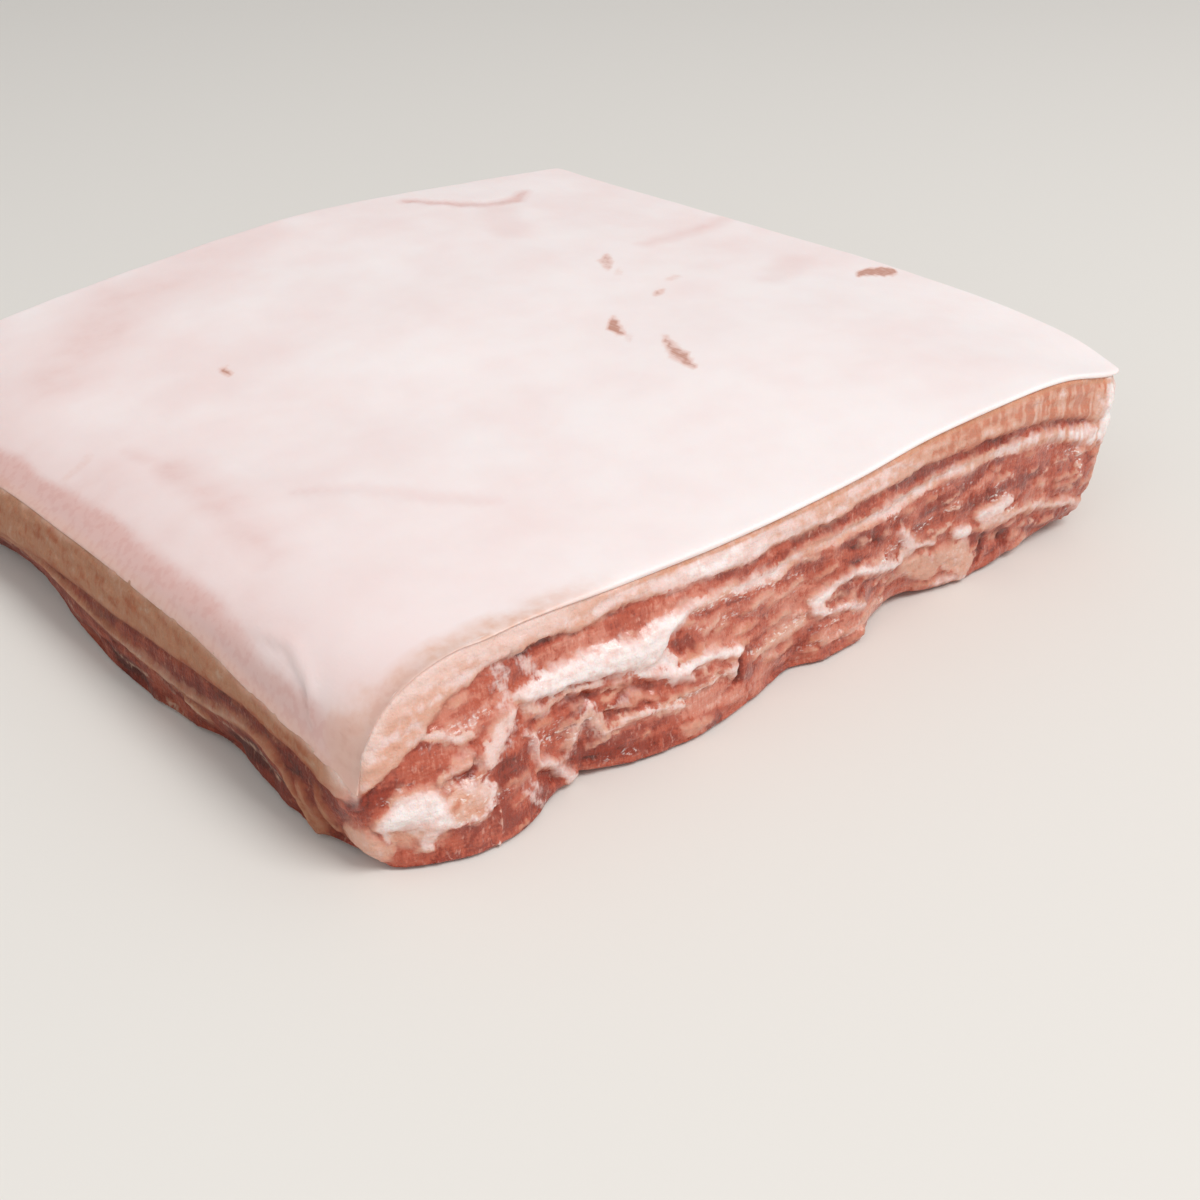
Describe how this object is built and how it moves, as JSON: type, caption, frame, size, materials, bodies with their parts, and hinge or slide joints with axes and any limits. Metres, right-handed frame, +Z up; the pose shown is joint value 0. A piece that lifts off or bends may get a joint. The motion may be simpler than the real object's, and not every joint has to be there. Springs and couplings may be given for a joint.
{
  "type": "pork belly slab",
  "caption": "Raw pork belly slab lying skin side up, with pale rind, a rounded shoulder and cut sides of layered fat and lean meat.",
  "frame": {"origin": "centre of the bounding box, on the face that the slab lies on", "axes": "+Z up through the thickness to the skin, +X along the near cut face from the thin rounded shoulder to the thick end, +Y from the near cut face to the far one"},
  "size_m": [0.2612, 0.2606, 0.0508],
  "materials": {
    "flesh": "moist satin raw meat"
  },
  "bodies": {
    "root": {"pork_belly_slab": "flesh"}
  },
  "joints": []
}
